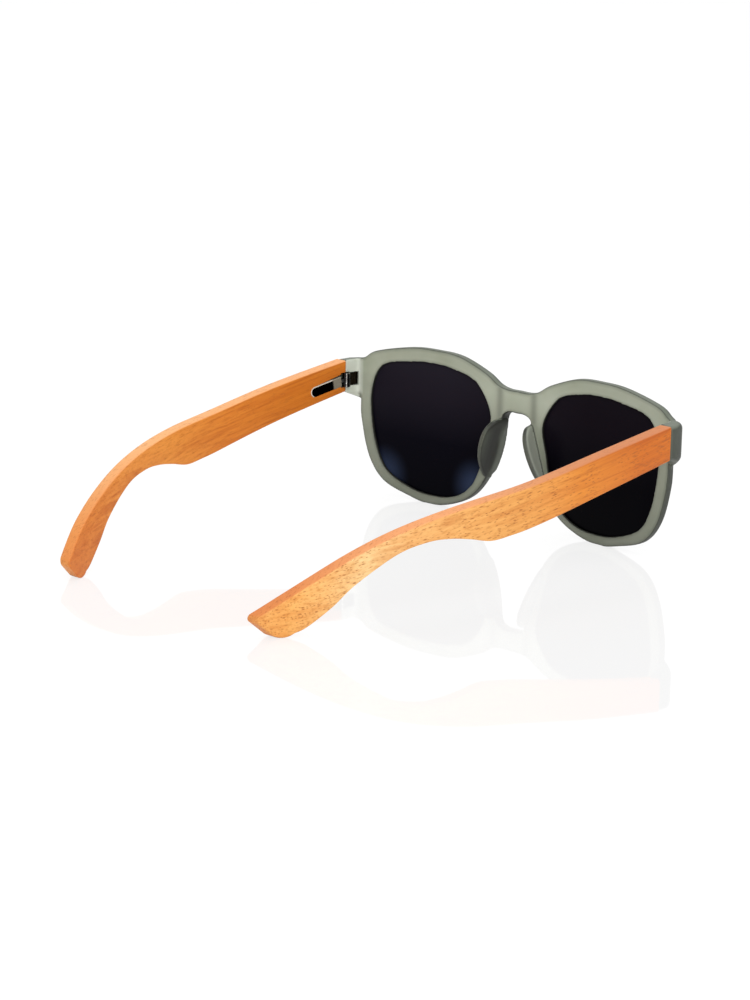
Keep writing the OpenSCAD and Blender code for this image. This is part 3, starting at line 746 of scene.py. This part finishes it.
# Colour stops by the way a face turns stand in for reflections: painted glints on the housing's eased edges,
# painted bright and dark lines on turned pieces, and a mild painted sheen on plain ones.
bevel_glint_stops = [(0.0, "#08080b"), (0.02, "#0a0a0d"), (0.05, "#e6dcd2"), (0.95, "#e6dcd2"), (0.98, "#0a0a0d"),
         (1.0, "#08080b")]
turned = [(0.0, "#2c2c2e"), (0.3, "#1c1c1e"), (0.44, "#3a3a3c"), (0.5, "#f2f0ea"), (0.56, "#2a2a2c"),
          (0.75, "#161618"), (0.82, "#c9c6c0"), (0.88, "#202022"), (1.0, "#3a3a3c")]
plain_sheen_stops = [(0.0, "#8a8b8e"), (0.5, "#a8a9ac"), (1.0, "#8a8b8e")]

# Housing: a painted highlight runs along its upper edge and round its end, and a painted grey-beige reflection
# lies on its mouth towards the slider.
housing, tree, shader, spot, tone = steel("polished_steel", 0.12, "X", bevel_glint_stops)
behind, above = from_hinge(tree, spot)
past = add_node(tree, "ShaderNodeMapRange", {0: behind, 1: 0.0147, 2: 0.0247, 3: 0.0, 4: 0.01})
reach = add_node(tree, "ShaderNodeCombineXYZ", {0: past.outputs[0], 1: above})
reach = add_node(tree, "ShaderNodeVectorMath", {0: reach.outputs[0]}, operation="LENGTH")
line = add_node(tree, "ShaderNodeMapRange", {0: reach.outputs["Value"], 1: 0.00134, 2: 0.00146})
upper_half = add_node(tree, "ShaderNodeMapRange", {0: above, 1: -0.0002, 2: 0.0006})
round_end = add_node(tree, "ShaderNodeMapRange", {0: past.outputs[0], 1: 0.0002, 2: 0.0008})
# Painted highlight along the upper edge and round the end.
edge_glint = add_node(tree, "ShaderNodeMath", {0: upper_half.outputs[0], 1: round_end.outputs[0]},
                  operation="MAXIMUM")
edge_glint = add_node(tree, "ShaderNodeMath", {0: edge_glint.outputs[0], 1: line.outputs[0]}, operation="MULTIPLY")
tone = add_node(tree, "ShaderNodeMix", {0: edge_glint.outputs[0], 6: tone.outputs[2], 7: colour("#d9d0c2")},
                data_type="RGBA")
# Painted reflection: the mouth is coloured grey-beige.
mouth_sheen = add_node(tree, "ShaderNodeMapRange", {0: behind, 1: 0.0064, 2: 0.0056, 3: 0.0, 4: 0.9})
tone = add_node(tree, "ShaderNodeMix", {0: mouth_sheen.outputs[0], 6: tone.outputs[2], 7: colour("#8f8878")},
                data_type="RGBA")
painted_glints = add_node(tree, "ShaderNodeMath", {0: edge_glint.outputs[0], 1: mouth_sheen.outputs[0]}, operation="MAXIMUM")
polish = add_node(tree, "ShaderNodeMath", {0: 1.0, 1: painted_glints.outputs[0]}, operation="SUBTRACT")
tree.links.new(tone.outputs[2], shader.inputs["Base Color"])
tree.links.new(polish.outputs[0], shader.inputs["Metallic"])

# Front hinge: its anchor, in front of the knuckles, is coloured dark brown as painted shade where it is let
# into the end piece.
front_hinge, tree, shader, spot, tone = steel("hinge_steel", 0.18, "Y", turned)
behind, above = from_hinge(tree, spot)
anchor_shade = add_node(tree, "ShaderNodeMapRange", {0: behind, 1: -0.0014, 2: -0.0016})
tone = add_node(tree, "ShaderNodeMix", {0: anchor_shade.outputs[0], 6: tone.outputs[2], 7: colour("#2a211a")},
                data_type="RGBA")
tree.links.new(tone.outputs[2], shader.inputs["Base Color"])

finishes = {
    "spring_housing": housing,
    "hinge_front": front_hinge,
    "hinge_slider": steel("hinge_steel_dark", 0.15, "Y", turned)[0],
    "hinge_screw": steel("screw_steel", 0.18, "Y", plain_sheen_stops)[0],
    "hinge_spring": steel("spring_steel", 0.25, "Y", plain_sheen_stops)[0],
    "slider_rod": steel("rod_steel", 0.25, "Y", plain_sheen_stops)[0],
    "spring_stop": steel("stop_steel", 0.25, "Y", plain_sheen_stops)[0],
    "spring_retainer": steel("retainer_steel", 0.25, "Y", plain_sheen_stops)[0],
}
edge_widths = {"spring_housing": 0.00032, "hinge_slider": 0.00012, "hinge_front": 0.00012,
               "hinge_screw": 0.00012}
for name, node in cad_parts.items():
    kind = name.rsplit("_", 1)[0]
    if kind in finishes:
        for material_slot in node.material_slots:
            material_slot.material = finishes[kind]
    if kind in edge_widths:
        step = node.modifiers.new("weld", "WELD")
        step.merge_threshold = 0.000005
        step = node.modifiers.new("ease", "BEVEL")
        step.width = edge_widths[kind]
        step.segments = 2
        step.limit_method = "ANGLE"
        step.angle_limit = math.radians(40)


# Table and light: a polished white table in a white room, a broad soft light behind the camera and one above.
# The table shows white, with a faint mirror image and a soft shadow of what stands on it.
def seen(tree):
    """One where a ray from the camera, a mirror or a clear surface arrives, and zero elsewhere."""
    rays = add_node(tree, "ShaderNodeLightPath")
    some = add_node(tree, "ShaderNodeMath",
                    {0: rays.outputs["Is Camera Ray"], 1: rays.outputs["Is Glossy Ray"]}, operation="MAXIMUM")
    return add_node(tree, "ShaderNodeMath", {0: some.outputs[0], 1: rays.outputs["Is Transmission Ray"]},
                    operation="MAXIMUM").outputs[0]


table_half = 6
bm = bmesh.new()
bmesh.ops.create_grid(bm, x_segments=2, y_segments=2, size=table_half)
floor = linked(bm, "floor")
white, tree, shader = new_material("floor_white")
shader.inputs["Base Color"].default_value = colour("#fbfbfb")
shader.inputs["Roughness"].default_value = 0.6
glow = add_node(tree, "ShaderNodeEmission", {"Color": (1, 1, 1, 1), "Strength": 1.03})
mirror = add_node(tree, "ShaderNodeBsdfGlossy", {"Color": (1, 1, 1, 1), "Roughness": 0.03})
polished = add_node(tree, "ShaderNodeMixShader", {0: 0.14, 1: glow.outputs[0], 2: mirror.outputs[0]})
shadowed = add_node(tree, "ShaderNodeMixShader", {0: 0.12, 1: polished.outputs[0], 2: shader.outputs[0]})
table = add_node(tree, "ShaderNodeMixShader", {0: seen(tree), 1: shader.outputs[0], 2: shadowed.outputs[0]})
tree.links.new(table.outputs[0], tree.nodes["Material Output"].inputs["Surface"])
floor.data.materials.append(white)

world = bpy.data.worlds.new("room")
world.use_nodes = True
bpy.context.scene.world = world
tree = world.node_tree
level = add_node(tree, "ShaderNodeMapRange", {0: seen(tree), 3: 0.85, 4: 1.0})
tree.links.new(level.outputs[0], tree.nodes["Background"].inputs["Strength"])
tree.nodes["Background"].inputs["Color"].default_value = (1, 1, 1, 1)


def soft_light(name, place, size, power):
    """Square soft light at a place, turned towards the middle of the sunglasses."""
    data = bpy.data.lights.new(name, "AREA")
    data.size = size
    data.energy = power
    lamp = bpy.data.objects.new(name, data)
    lamp.location = place
    lamp.rotation_mode = "QUATERNION"
    lamp.rotation_quaternion = (Vector((0, 0, 0.02)) - Vector(place)).to_track_quat("-Z", "Y")
    bpy.context.scene.collection.objects.link(lamp)


soft_light("key", (-0.7, 0.5, 0.6), 0.5, 4.0)
soft_light("top", (0.1, -0.1, 0.9), 0.6, 2.0)
bpy.context.scene.view_settings.view_transform = "Standard"
